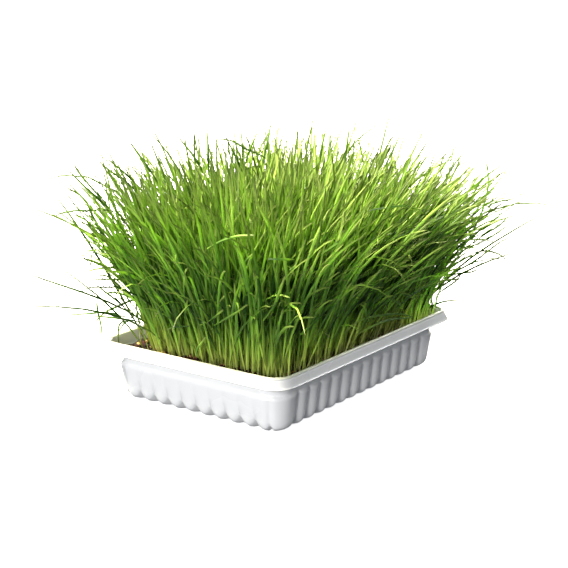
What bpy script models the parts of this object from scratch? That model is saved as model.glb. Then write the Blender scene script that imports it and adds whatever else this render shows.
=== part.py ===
"""A tray of wheatgrass: a fluted white sheet-plastic tray, its fill of soil, and the sod of young wheat in it.

Metres, +Z up. The origin is at the middle of the tray's foot, on the surface that it stands on.
+X runs along the tray's long side and +Y along its short side.
"""

import math
import random

import bmesh
import bpy
from mathutils import Vector

MM = 0.001

# The tray, a sheet formed over a mould. Insets count inwards from the lip's outer edge. The grooves between the
# flutes rise by FLUTE_LIFT at the foot, which fades out at the height of FOOT_BAND.
TRAY_LENGTH = 240 * MM
TRAY_WIDTH = 180 * MM
SHEET = 1.0 * MM
FLUTE_PITCH = 14.0 * MM
FLUTE_DEPTH = 2.8 * MM
FLUTE_LIFT = 2.6 * MM
FOOT_BAND = 7.0 * MM
LONG_SIDE_FLUTES = 12
SHORT_SIDE_FLUTES = 8
CORNER_GROOVE = 1.2 * MM
CORNER_STEPS = 6
STEPS_FROM_SHORT_SIDE = 2

# The sheet's outside in section, from the middle panel that it rests on, over a raised band to the flutes' feet,
# and up to the lip, in mm: inset, height, corner radius, then the stops in each flute and the share of its depth.
TRAY_PROFILE = (
    (36.0, 0.0, 6.0, 0, 0.0),
    (34.0, 1.6, 6.0, 0, 0.0),
    (23.0, 1.6, 4.0, 2, 0.0),
    (16.6, 0.0, 10.4, 4, 0.85),
    (13.0, 2.2, 14.0, 4, 1.0),
    (12.0, 7.0, 15.0, 4, 1.0),
    (9.4, 31.5, 16.5, 4, 0.7),
    (9.0, 35.0, 17.0, 2, 0.0),
    (8.8, 37.0, 17.0, 0, 0.0),
    (4.6, 38.2, 14.0, 0, 0.0),
    (4.0, 46.2, 13.5, 0, 0.0),
    (3.6, 47.0, 13.3, 0, 0.0),
    (2.9, 47.0, 13.2, 0, 0.0),
    (2.5, 46.2, 13.2, 0, 0.0),
    (2.1, 40.0, 13.6, 0, 0.0),
    (0.35, 39.2, 15.0, 0, 0.0),
)

# The soil and the sod on it.
SOIL_TOP = 36 * MM
SOIL_BOTTOM = 4.2 * MM
SOIL_EDGE_INSET = 12.2 * MM
MAT_THICKNESS = 4 * MM
MAT_MARGIN = 1.6 * MM
MAT_RADIUS = 12 * MM
CLEARANCE = 0.35 * MM

# The wheat blades. Leans and droops are in degrees.
SEED = 20
BLADE_SPACING = 7.6 * MM
BLADE_LENGTH = 158 * MM
BLADE_WIDTH = 3.3 * MM
BLADE_THICKNESS = 0.95 * MM
ROOT_DEPTH = 3 * MM
SOWN_MARGIN = 4.2 * MM
BARE_CORNER_RADIUS = 22 * MM
EDGE_LEAN = 22.0
EDGE_DROOP = 12.0
DROOP = 6.0
DROOP_SCATTER = 13.0
LEAN_TO_LIGHT = (4.8, -4.8)
LEAN_SCATTER = 7.5
CLEAR_OF_NEXT = 3.7 * MM
SLICE = 10 * MM
MOST_TRIES = 16
BLADE_STEPS = 20

# Share of the length and of the width at each cross-section of a blade, below its tip.
BLADE_STOPS = ((0.0, 0.68), (0.38, 1.0), (0.72, 0.8))
STRAY_STOPS = ((0.0, 0.68), (0.2, 0.9), (0.4, 1.0), (0.55, 0.95), (0.7, 0.8), (0.85, 0.55))

# The strays, long blades that stand clear of the rest: root along X and Y as shares of the sown half sides,
# heading in degrees from +X, lean and droop in degrees, length in mm.
STRAY_BLADES = (
    (-0.51, 1.00, 133, 6.4, 111, 195),
    (-0.60, 0.29, 130, 53.0, -7, 186),
    (-0.77, 0.57, 164, 70.2, -40, 153),
    (-0.98, 0.70, 126, 49.4, -19, 101),
    (-0.73, 0.49, 166, 52.3, 85, 171),
    (-0.86, 0.38, 155, 73.8, -23, 142),
    (-0.84, 1.00, 77, 10.8, 175, 137),
    (-0.56, 0.37, 120, 0.0, 50, 185),
    (0.21, 0.20, -47, 9.1, 0, 181),
    (1.00, 0.48, -49, 0.0, 77, 190),
    (0.70, -0.11, -51, 45.8, -55, 174),
    (1.00, -0.58, -54, 43.4, 47, 182),
    (1.00, -0.82, -52, 59.6, -27, 141),
    (0.93, -0.81, -52, 64.3, -20, 111),
    (0.91, -0.88, -36, 70.2, -1, 50),
    (0.45, 0.95, 75, 24, 30, 170),
    (0.96, 0.66, 20, 30, 40, 168),
    (-0.97, -0.56, 195, 26, 40, 158),
    (0.30, -0.97, -80, 28, 44, 156),
)


def clear_scene():
    for obj in list(bpy.data.objects):
        bpy.data.objects.remove(obj, do_unlink=True)


def finish_of(name, colour, roughness):
    material = bpy.data.materials.new(name)
    material.use_nodes = True
    shader = material.node_tree.nodes["Principled BSDF"]
    shader.inputs["Base Color"].default_value = (*colour, 1.0)
    shader.inputs["Roughness"].default_value = roughness
    shader.inputs["Metallic"].default_value = 0.0
    return material


def object_from(name, bm, collection=None):
    mesh = bpy.data.meshes.new(name)
    bm.to_mesh(mesh)
    bm.free()
    obj = bpy.data.objects.new(name, mesh)
    (collection or bpy.context.scene.collection).objects.link(obj)
    return obj


def flute_stops(count, per_pitch):
    """(distance along the side, share of the groove's depth) at each stop along a side's flutes. Past the last
    groove at each end the wall rises again over half a pitch."""
    stops = []
    for step in range((count + 1) * per_pitch + 1):
        turn = step / per_pitch - 0.5
        along = (turn - count / 2) * FLUTE_PITCH
        stops.append((along, 1 - abs(math.sin(math.pi * turn))))
    return stops


def ring(inset, height, radius, per_pitch=0, depth=0.0, lift=0.0):
    """(key, point) pairs counter-clockwise round the tray's outline. The key orders the points of two rings alike.
    per_pitch is the stops in each flute, 0 for plain sides, depth is how far a groove goes in, and lift how far up."""
    half_x = TRAY_LENGTH / 2 - inset
    half_y = TRAY_WIDTH / 2 - inset
    points = []
    sides = (
        (Vector((1, 0)), half_x, half_y, LONG_SIDE_FLUTES),
        (Vector((0, 1)), half_y, half_x, SHORT_SIDE_FLUTES),
        (Vector((-1, 0)), half_x, half_y, LONG_SIDE_FLUTES),
        (Vector((0, -1)), half_y, half_x, SHORT_SIDE_FLUTES),
    )
    for side, (forward, run, out_by, flutes) in enumerate(sides):
        outward = Vector((forward.y, -forward.x))
        straight = run - radius
        stops = [(-straight, 0.0), (straight, 0.0)]
        if per_pitch:
            stops[1:1] = flute_stops(flutes, per_pitch)
        for along, share in stops:
            place = forward * along + outward * (out_by - share * depth)
            key = 2 * side + 0.5 + along / TRAY_LENGTH
            points.append((key, Vector((place.x, place.y, height + share * lift))))
        centre = forward * straight + outward * (out_by - radius)
        for step in range(1, CORNER_STEPS):
            turn = step / CORNER_STEPS * math.pi / 2
            from_short_side = step if side % 2 else CORNER_STEPS - step
            notch = CORNER_GROOVE * depth / FLUTE_DEPTH if from_short_side == STEPS_FROM_SHORT_SIDE else 0.0
            reach = radius - notch
            place = centre + outward * reach * math.cos(turn) + forward * reach * math.sin(turn)
            key = 2 * side + 1 + step / CORNER_STEPS
            points.append((key, Vector((place.x, place.y, height))))
    return points


def stitch(bm, rings, close_first=False, close_last=False):
    """Joins rings of any counts by triangles, from the foot's middle outwards and up, with the faces pointing out."""
    rows = [[(key, bm.verts.new(point)) for key, point in points] for points in rings]
    for lower, upper in zip(rows, rows[1:]):
        low, high = 0, 0
        while low < len(lower) or high < len(upper):
            low_vert, high_vert = lower[low % len(lower)][1], upper[high % len(upper)][1]
            next_low = lower[low + 1][0] if low + 1 < len(lower) else 8 + lower[0][0]
            next_high = upper[high + 1][0] if high + 1 < len(upper) else 8 + upper[0][0]
            if low < len(lower) and (high >= len(upper) or next_low <= next_high):
                bm.faces.new((low_vert, lower[(low + 1) % len(lower)][1], high_vert))
                low += 1
            else:
                bm.faces.new((low_vert, upper[(high + 1) % len(upper)][1], high_vert))
                high += 1
    if close_first:
        bm.faces.new([vert for _, vert in reversed(rows[0])])
    if close_last:
        bm.faces.new([vert for _, vert in rows[-1]])


def offset_profile(stations):
    """The sheet's other side: each (inset, height, radius, ...) station moved one sheet's thickness inwards."""
    moved = []
    for spot, (inset, height, radius, *flutes) in enumerate(stations):
        here = Vector((inset, height))
        normals = []
        for other in (spot - 1, spot + 1):
            if 0 <= other < len(stations):
                run = (Vector(stations[other][:2]) - here) * (other - spot)
                normals.append(Vector((run.y, -run.x)).normalized())
        shift = (normals[0] + normals[-1]) / (1 + normals[0].dot(normals[-1])) * (SHEET / MM)
        moved.append((inset + shift.x, height + shift.y, radius - shift.x, *flutes))
    return moved


def make_tray():
    """One closed sheet: up its outside from the foot to the lip, then back down its inside."""
    outside = list(TRAY_PROFILE)
    inside = offset_profile(outside)
    bm = bmesh.new()
    rings = []
    for inset, height, radius, stops, share in outside + inside[::-1]:
        depth = share * FLUTE_DEPTH
        lift = share * FLUTE_LIFT * max(0.0, 1 - height * MM / FOOT_BAND)
        rings.append(ring(inset * MM, height * MM, radius * MM, stops, depth, lift))
    stitch(bm, rings, close_first=True, close_last=True)
    tray = object_from("tray", bm)
    tray.data.materials.append(finish_of("white_sheet_plastic", (0.86, 0.87, 0.87), 0.38))
    return tray


def make_soil():
    """Fills the tray to below its rim, inside the flutes, with a shallow bed for the sod in its top."""
    bed_inset = SOIL_EDGE_INSET + MAT_MARGIN
    bed_floor = SOIL_TOP - MAT_THICKNESS - CLEARANCE
    bm = bmesh.new()
    rings = (
        ring(21 * MM, SOIL_BOTTOM, 10 * MM),
        ring(17.2 * MM, 7.6 * MM, 11 * MM),
        ring(13.6 * MM, 30 * MM, 13 * MM),
        ring(SOIL_EDGE_INSET, SOIL_TOP - 1 * MM, 14 * MM),
        ring(SOIL_EDGE_INSET + 1 * MM, SOIL_TOP, 14 * MM),
        ring(bed_inset, SOIL_TOP, MAT_RADIUS),
        ring(bed_inset + CLEARANCE, bed_floor, MAT_RADIUS),
    )
    stitch(bm, rings, close_first=True, close_last=True)
    soil = object_from("soil", bm)
    soil.data.materials.append(finish_of("potting_soil", (0.07, 0.045, 0.028), 0.95))
    return soil


def blade_points(root, heading, lean, droop, length):
    """The middle line of a blade that rises from its root and bends over as it goes, as evenly spaced points."""
    points = [Vector(root)]
    for step in range(BLADE_STEPS):
        share = (step + 0.5) / BLADE_STEPS
        tilt = math.radians(lean * (0.45 + share) + droop * share**2.5)
        flat = math.sin(tilt)
        along = Vector((flat * math.cos(heading), flat * math.sin(heading), math.cos(tilt)))
        points.append(points[-1] + along * (length / BLADE_STEPS))
    return points


def at_slices(points):
    """Where a blade's middle line passes each level above the soil, as {level number: (x, y)}."""
    found = {}
    for low, high in zip(points, points[1:]):
        if high.z <= low.z:
            continue
        first = math.ceil((low.z - SOIL_TOP) / SLICE)
        last = math.floor((high.z - SOIL_TOP) / SLICE)
        for level in range(first, last + 1):
            share = (SOIL_TOP + level * SLICE - low.z) / (high.z - low.z)
            found[level] = low.lerp(high, share).xy
    return found


def is_clear(slices, placed):
    """True where a blade keeps off all those placed before it at every level that both reach."""
    for other in placed:
        for level, place in slices.items():
            if level in other and (place - other[level]).length < CLEAR_OF_NEXT:
                return False
    return True


def sown_half_sides():
    inset = SOIL_EDGE_INSET + MAT_MARGIN + SOWN_MARGIN
    return TRAY_LENGTH / 2 - inset, TRAY_WIDTH / 2 - inset


def is_sown(x, y, half_x, half_y):
    """False in the bare corner, at -X and +Y, and past the mat's round corners."""
    if math.hypot(x + half_x, y - half_y) < BARE_CORNER_RADIUS:
        return False
    radius = MAT_RADIUS - SOWN_MARGIN / 2
    past_x, past_y = abs(x) - half_x + radius, abs(y) - half_y + radius
    return past_x < 0 or past_y < 0 or math.hypot(past_x, past_y) < radius


def draw_blade(draw, x, y, half_x, half_y):
    """A blade rooted at x, y as (root, heading, lean, droop, length), its width and its turn about its own line.
    It leans outwards, the more so the nearer it stands to the edge, and a little to one corner as a whole."""
    edge = max(abs(x) / half_x, abs(y) / half_y)
    out = Vector((x, y)).normalized() * EDGE_LEAN * edge
    lean = out + Vector(LEAN_TO_LIGHT) + Vector((draw.gauss(0, LEAN_SCATTER), draw.gauss(0, LEAN_SCATTER)))
    droop = max(0.0, draw.gauss(DROOP + EDGE_DROOP * edge**3, DROOP_SCATTER))
    length = BLADE_LENGTH * draw.uniform(0.86, 1.09)
    line = (Vector((x, y, SOIL_TOP - ROOT_DEPTH)), math.atan2(lean.y, lean.x), lean.length, droop, length)
    return line, BLADE_WIDTH * draw.uniform(0.8, 1.2), math.radians(draw.uniform(-60, 60))


def plan_blades():
    """Every blade as (line, width, turn, cross-sections): the strays, then one at each point of a loose triangular
    grid. A blade that would touch another is drawn again, and left out after MOST_TRIES."""
    draw = random.Random(SEED)
    half_x, half_y = sown_half_sides()
    plan, placed = [], []
    for share_x, share_y, heading, lean, droop, length in STRAY_BLADES:
        root = Vector((share_x * half_x, share_y * half_y, SOIL_TOP - ROOT_DEPTH))
        line = (root, math.radians(heading), lean, droop, length * MM)
        plan.append((line, BLADE_WIDTH, 0.0, STRAY_STOPS))
        placed.append(at_slices(blade_points(*line)))
    row_step = BLADE_SPACING * math.sqrt(3) / 2
    rows = int(2 * half_y / row_step) + 1
    columns = int(2 * half_x / BLADE_SPACING) + 1
    for row in range(rows):
        for column in range(columns):
            middle_x = (column - (columns - 1) / 2 + 0.25 - 0.5 * (row % 2)) * BLADE_SPACING
            middle_y = (row - (rows - 1) / 2) * row_step
            for _ in range(MOST_TRIES):
                x = middle_x + draw.uniform(-0.35, 0.35) * BLADE_SPACING
                y = middle_y + draw.uniform(-0.35, 0.35) * BLADE_SPACING
                x = max(-half_x, min(half_x, x))
                y = max(-half_y, min(half_y, y))
                line, width, turn = draw_blade(draw, x, y, half_x, half_y)
                if not is_sown(x, y, half_x, half_y):
                    continue
                slices = at_slices(blade_points(*line))
                if is_clear(slices, placed):
                    plan.append((line, width, turn, BLADE_STOPS))
                    placed.append(slices)
                    break
    return plan


def blade_solid(name, collection, line, width, turn, stops):
    """One blade: three sided, with its mid rib at the back, broad in its middle and drawn to a point. Its lowest
    stretch is straight, with flat sides, so that it leaves a plain three-cornered foot in the mat."""
    fine = blade_points(*line)
    heading = line[1]
    flat = Vector((-math.sin(heading + turn), math.cos(heading + turn), 0))
    spots = [round(share * BLADE_STEPS) for share, _ in stops]
    bm = bmesh.new()
    rows = []
    for (_, breadth), spot in zip(stops, spots):
        first, last = (0, spots[1]) if spot <= spots[1] else (spot, spot + 1)
        along = (fine[last] - fine[first]).normalized()
        across = (flat - along * flat.dot(along)).normalized() * (width / 2 * breadth)
        back = across.normalized().cross(along) * (BLADE_THICKNESS * breadth)
        point = fine[spot]
        rows.append([bm.verts.new(corner) for corner in (point - across, point + across, point + back)])
    for side in range(3):
        low, high = rows[0], rows[1]
        bm.faces.new((low[side], low[(side + 1) % 3], high[(side + 1) % 3], high[side]))
    for low, high in zip(rows[1:], rows[2:]):
        for side in range(3):
            a, b = side, (side + 1) % 3
            bm.faces.new((low[a], low[b], high[b]))
            bm.faces.new((low[a], high[b], high[a]))
    tip = bm.verts.new(fine[-1])
    for side in range(3):
        bm.faces.new((rows[-1][side], rows[-1][(side + 1) % 3], tip))
    bm.faces.new(reversed(rows[0]))
    bmesh.ops.recalc_face_normals(bm, faces=bm.faces)
    return object_from(name, bm, collection)


def make_wheatgrass():
    """The sod: a felted mat of roots with every blade rooted in it, joined to one body."""
    bed_inset = SOIL_EDGE_INSET + MAT_MARGIN + 2 * CLEARANCE
    bm = bmesh.new()
    rings = (
        ring(bed_inset + 0.5 * MM, SOIL_TOP - MAT_THICKNESS, MAT_RADIUS),
        ring(bed_inset, SOIL_TOP - 1.2 * MM, MAT_RADIUS),
        ring(bed_inset + 1.2 * MM, SOIL_TOP - 0.3 * MM, MAT_RADIUS - 1 * MM),
    )
    stitch(bm, rings, close_first=True, close_last=True)
    sod = object_from("wheatgrass", bm)
    blades = bpy.data.collections.new("blades")
    bpy.context.scene.collection.children.link(blades)
    for number, blade in enumerate(plan_blades()):
        blade_solid(f"blade_{number:03d}", blades, *blade)
    join = sod.modifiers.new("blades", "BOOLEAN")
    join.operation = "UNION"
    join.operand_type = "COLLECTION"
    join.collection = blades
    join.solver = "MANIFOLD"
    bpy.context.view_layer.objects.active = sod
    bpy.ops.object.modifier_apply(modifier=join.name)
    for blade in list(blades.objects):
        bpy.data.objects.remove(blade, do_unlink=True)
    bpy.data.collections.remove(blades)
    sod.data.materials.clear()
    sod.data.materials.append(finish_of("wheat_leaf", (0.16, 0.36, 0.05), 0.5))
    return sod


clear_scene()
make_tray()
make_soil()
make_wheatgrass()
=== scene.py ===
"""The looks of a tray of wheatgrass: fine blades, crumbly soil with spent seeds, and a white formed tray."""

import math
import random

import bpy
import numpy as np
from mathutils import Matrix, Vector, noise


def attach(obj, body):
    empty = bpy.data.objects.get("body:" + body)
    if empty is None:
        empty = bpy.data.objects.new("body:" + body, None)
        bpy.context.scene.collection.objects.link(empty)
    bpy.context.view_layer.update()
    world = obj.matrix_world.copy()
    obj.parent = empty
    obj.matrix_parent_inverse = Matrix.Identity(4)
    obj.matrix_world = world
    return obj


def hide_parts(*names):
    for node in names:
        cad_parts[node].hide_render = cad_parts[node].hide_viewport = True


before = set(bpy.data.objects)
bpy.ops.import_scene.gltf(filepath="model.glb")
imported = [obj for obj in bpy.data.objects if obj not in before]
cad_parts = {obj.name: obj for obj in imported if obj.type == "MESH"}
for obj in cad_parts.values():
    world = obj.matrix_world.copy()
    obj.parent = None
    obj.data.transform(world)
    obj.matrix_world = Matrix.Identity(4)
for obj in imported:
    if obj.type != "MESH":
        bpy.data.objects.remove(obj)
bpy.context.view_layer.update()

MM = 0.001
TOUCHING = 0.01 * MM

# The camera, as the photograph was taken.
SENSOR_WIDTH = 36
CAMERA_AIM = Vector((0.0167, 0.0087, 0.0753))
CAMERA_AZIMUTH = math.radians(-53.19)
CAMERA_ELEVATION = math.radians(14.62)
CAMERA_ROLL = math.radians(-0.462)
CAMERA_DISTANCE = 1.1724
CAMERA_LENS = 92.19

# The tray. These are the real part's own sizes. Insets count inwards from the lip's outer edge.
TRAY_LENGTH = 240 * MM
TRAY_WIDTH = 180 * MM
SHEET = 1.0 * MM
FLUTE_PITCH = 14.0 * MM
LONG_SIDE_FLUTES = 12
SHORT_SIDE_FLUTES = 8

# The grooves between the flutes. Over the lowest FOOT_BAND mm of the wall their feet rise by up to
# FLUTE_LIFT. The lower the fullness, the broader the flutes and the narrower the grooves.
FLUTE_DEPTH = 4.8 * MM
FLUTE_LIFT = 6.4 * MM
FOOT_BAND = 12.0
FLUTE_FULLNESS = 0.52
FLUTE_STOPS = 10

# The short sides' grooves are shallower, and have nearly run out at FADE_HEIGHT.
SHORT_SIDE_DEPTH = 0.85
SHORT_SIDE_FADE = 0.12
FADE_HEIGHT = 13 * MM

# Each corner has one narrow notch, nearer its short side.
CORNER_NOTCH = 1.1 * MM
NOTCH_TURN = math.radians(25)
NOTCH_SPREAD = math.radians(8)
NOTCH_LIFT = 0.6
CORNER_STEPS = 18

# The section's bends are rounded over BEND mm on each side, or over a share of a run that is short.
BEND = 1.3
MOST_OF_RUN = 0.45
BEND_STEPS = 3

# The sheet's outside in section, in mm: inset, height, corner radius and the share of the grooves' depth.
# It runs from the panel that it rests on, over a raised band and the flutes' feet, up the wall to the shelf
# above the flutes, over the rolled rim and down the lip.
TRAY_PROFILE = (
    (36.0, 0.0, 6.0, 0.0),
    (34.0, 1.6, 6.0, 0.0),
    (27.0, 1.6, 4.0, 0.0),
    (23.5, 0.3, 5.0, 0.2),
    (20.5, 0.6, 6.8, 0.5),
    (16.6, 2.0, 10.4, 0.85),
    (13.4, 4.4, 13.6, 1.0),
    (12.2, 8.0, 14.8, 1.0),
    (10.5, 20.0, 16.0, 0.8),
    (9.7, 25.0, 16.4, 0.72),
    (9.2, 28.4, 16.7, 0.6),
    (11.0, 30.4, 15.9, 0.08),
    (11.0, 31.8, 15.9, 0.0),
    (10.2, 37.2, 16.2, 0.0),
    (5.6, 38.2, 14.0, 0.0),
    (5.0, 46.2, 13.5, 0.0),
    (4.6, 47.0, 13.3, 0.0),
    (3.9, 47.0, 13.2, 0.0),
    (3.6, 46.5, 13.2, 0.0),
    (3.9, 45.8, 13.2, 0.0),
    (3.2, 45.2, 13.3, 0.0),
    (1.5, 40.5, 14.0, 0.0),
    (0.35, 39.3, 15.0, 0.0),
)

# The soil, and the ground that is sown.
SOIL_TOP = 36 * MM
SOIL_DEPTH = 26 * MM
SOIL_EDGE_INSET = 12.2 * MM
SOIL_RADIUS = 14 * MM
SOIL_TAPER = (0.955, 0.945, 1)
SOIL_GRID = (190, 140)
MAT_MARGIN = 1.6 * MM
MAT_RADIUS = 12 * MM
ROOT_DEPTH = 3 * MM
SOWN_MARGIN = 4.2 * MM
BARE_CORNER_RADIUS = 22 * MM

# The soil is heaped up loosely along its edge, with its crest a little way in and lumps some 17 mm across.
HEAP_RISE = 8.0 * MM
HEAP_WIDTH = 13 * MM
HEAP_CREST = 4 * MM
HEAP_ON_LONG_SIDES = 0.45
LUMPS_PER_METRE = 60

# Loose crumbs, with their sizes in mm, and spent grains. ANY_TURN is a little more than once round.
CRUMB_SEED = 3
CRUMB_RINGS = 5
CRUMBS = 3600
LEAST_CRUMB, CRUMB_LARGER = 0.45, 1.25
CRUMB_MARGIN = 1 * MM
CRUMB_CORNER_RADIUS = 13 * MM
CRUMBLY_EDGE = 14 * MM
CRUMBLY_CORNER = BARE_CORNER_RADIUS + 12 * MM
LEFT_OUT_WITHIN = 0.7
GRAIN_SEED = 5
GRAIN_RINGS = 7
GRAIN_LENGTH = 6.0 * MM
GRAIN_WIDTH = 2.9 * MM
GRAIN_HEIGHT = 2.7 * MM
GRAIN_SHARE = 0.25
GRAIN_AWAY = 2.5 * MM
ANY_TURN = (0, 6.3)

# The blades, by the same rule and seed as the solid's. Leans, droops and turns are in degrees.
SEED = 20
BLADE_SPACING = 7.6 * MM
GRID_SHIFT = 0.25
GRID_SCATTER = 0.35
BLADE_LENGTH = 158 * MM
LENGTH_RANGE = (0.86, 1.09)
BLADE_WIDTH = 3.3 * MM
WIDTH_RANGE = (0.8, 1.2)
MOST_TURN = 60
EDGE_LEAN = 22.0
EDGE_DROOP = 12.0
DROOP = 6.0
DROOP_SCATTER = 13.0
LEAN_TO_LIGHT = (4.8, -4.8)
LEAN_SCATTER = 7.5
CLEAR_OF_NEXT = 3.7 * MM
SLICE = 10 * MM
MOST_TRIES = 16
BLADE_STEPS = 20
LEAN_AT_ROOT = 0.45
DROOP_POWER = 2.5

# The blades that reach out past the rest: their root as a share of the sown ground's half sides, heading,
# lean, droop and length in mm.
STRAY_BLADES = (
    (-0.51, 1.00, 133, 6.4, 111, 195),
    (-0.60, 0.29, 130, 53.0, -7, 186),
    (-0.77, 0.57, 164, 70.2, -40, 153),
    (-0.98, 0.70, 126, 49.4, -19, 101),
    (-0.73, 0.49, 166, 52.3, 85, 171),
    (-0.86, 0.38, 155, 73.8, -23, 142),
    (-0.84, 1.00, 77, 10.8, 175, 137),
    (-0.56, 0.37, 120, 0.0, 50, 185),
    (0.21, 0.20, -47, 9.1, 0, 181),
    (1.00, 0.48, -49, 0.0, 77, 190),
    (0.70, -0.11, -51, 45.8, -55, 174),
    (1.00, -0.58, -54, 43.4, 47, 182),
    (1.00, -0.82, -52, 59.6, -27, 141),
    (0.93, -0.81, -52, 64.3, -20, 111),
    (0.91, -0.88, -36, 70.2, -1, 50),
    (0.45, 0.95, 75, 24, 30, 170),
    (0.96, 0.66, 20, 30, 40, 168),
    (-0.97, -0.56, 195, 26, 40, 158),
    (0.30, -0.97, -80, 28, 44, 156),
)

# The finer blades that the scene sows among them. Short ones are second leaves; hooked ones are bent over.
FINE_SEED = 7
FINE_BLADES = 5000
FINE_LENGTH = (0.50, 1.10, 0.90)
FINE_SCATTER = 7.0
FINE_SWING = math.radians(80)
FINE_DROOP = 10
MORE_DROOP = 34
SHORT_SHARE = 0.30
SHORT_LENGTH = (0.5, 0.88)
SHORT_DROOP = (5, 45)
HOOKED_SHARE = 0.03
HOOKED_DROOP = (60, 120)

# The finer blades lean out to the corner at +X and -Y, are fewer at the corner across from it and along the
# front, are longer at those corners, and hang neither low over the rim nor past the solid's reach.
MIDDLE_LENGTH, CORNER_LONGER = 0.975, 0.08
CORNER_LEAN = 10.0
TO_CORNER = Vector((0.61, -0.79))
THIN_CORNER = 0.45
THIN_FRONT = 0.22
FRONT_DEPTH = 20 * MM
OVER_RIM = 66 * MM
MOST_OVERHANG = 8 * MM
FURTHEST = (188 * MM, 146 * MM)

# A tuft of short, pale young blades in that corner. Their tones run past the palest, which brightens them as
# painted light for the corner lit through from behind.
TUFT_SEED = 23
TUFT_BLADES = 120
TUFT_LENGTH = (45, 100)
TUFT_WIDTH = (1.3, 1.9)
TUFT_TONE_PAINTED_LIGHT = (1.1, 2.2)

# How each kind of blade looks. The tone runs from deep green at 0 to pale and young at 1, and LAID_TONE is a
# factor on the laid blades' own. The slimmers are shares of the width of the solid's blades, which are
# thicker than real leaves.
TONE, TONE_SPREAD, PALEST = 0.37, 0.52, 1.0
STRAY_TONE = -0.35
LAID_TONE = 0.55
MAIN_SLIMMER = 0.60
FINE_SLIMMER = 0.58
STRAY_SLIMMER = 0.5
LEAST_LAID_WIDTH = 1.6
TWIST = 0.8
PLACED_TWIST = 0.3
WANDER = 0.03

# The level way from the tray to the camera. A blade that lies square to it shows its full width.
CAMERA_SIDE = np.array((-0.8, -0.6, 0.0))

# A leaf: the share of its length, and of its width, at each cross-section; how thick it is and how far it is
# folded along its mid rib, as shares of its width; and how much of its length is pale sheath.
LEAF_STOPS = (
    (0.0, 0.50), (0.08, 0.54), (0.17, 0.66), (0.28, 0.84), (0.40, 1.0), (0.54, 1.0),
    (0.68, 0.94), (0.81, 0.84), (0.91, 0.70), (0.97, 0.50),
)
LEAF_SKIN = 0.14
FOLD_AT_ROOT = 0.8
LESS_FOLD_AT_TIP = 0.5
SHEATH_SHARE = 0.34

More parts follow.
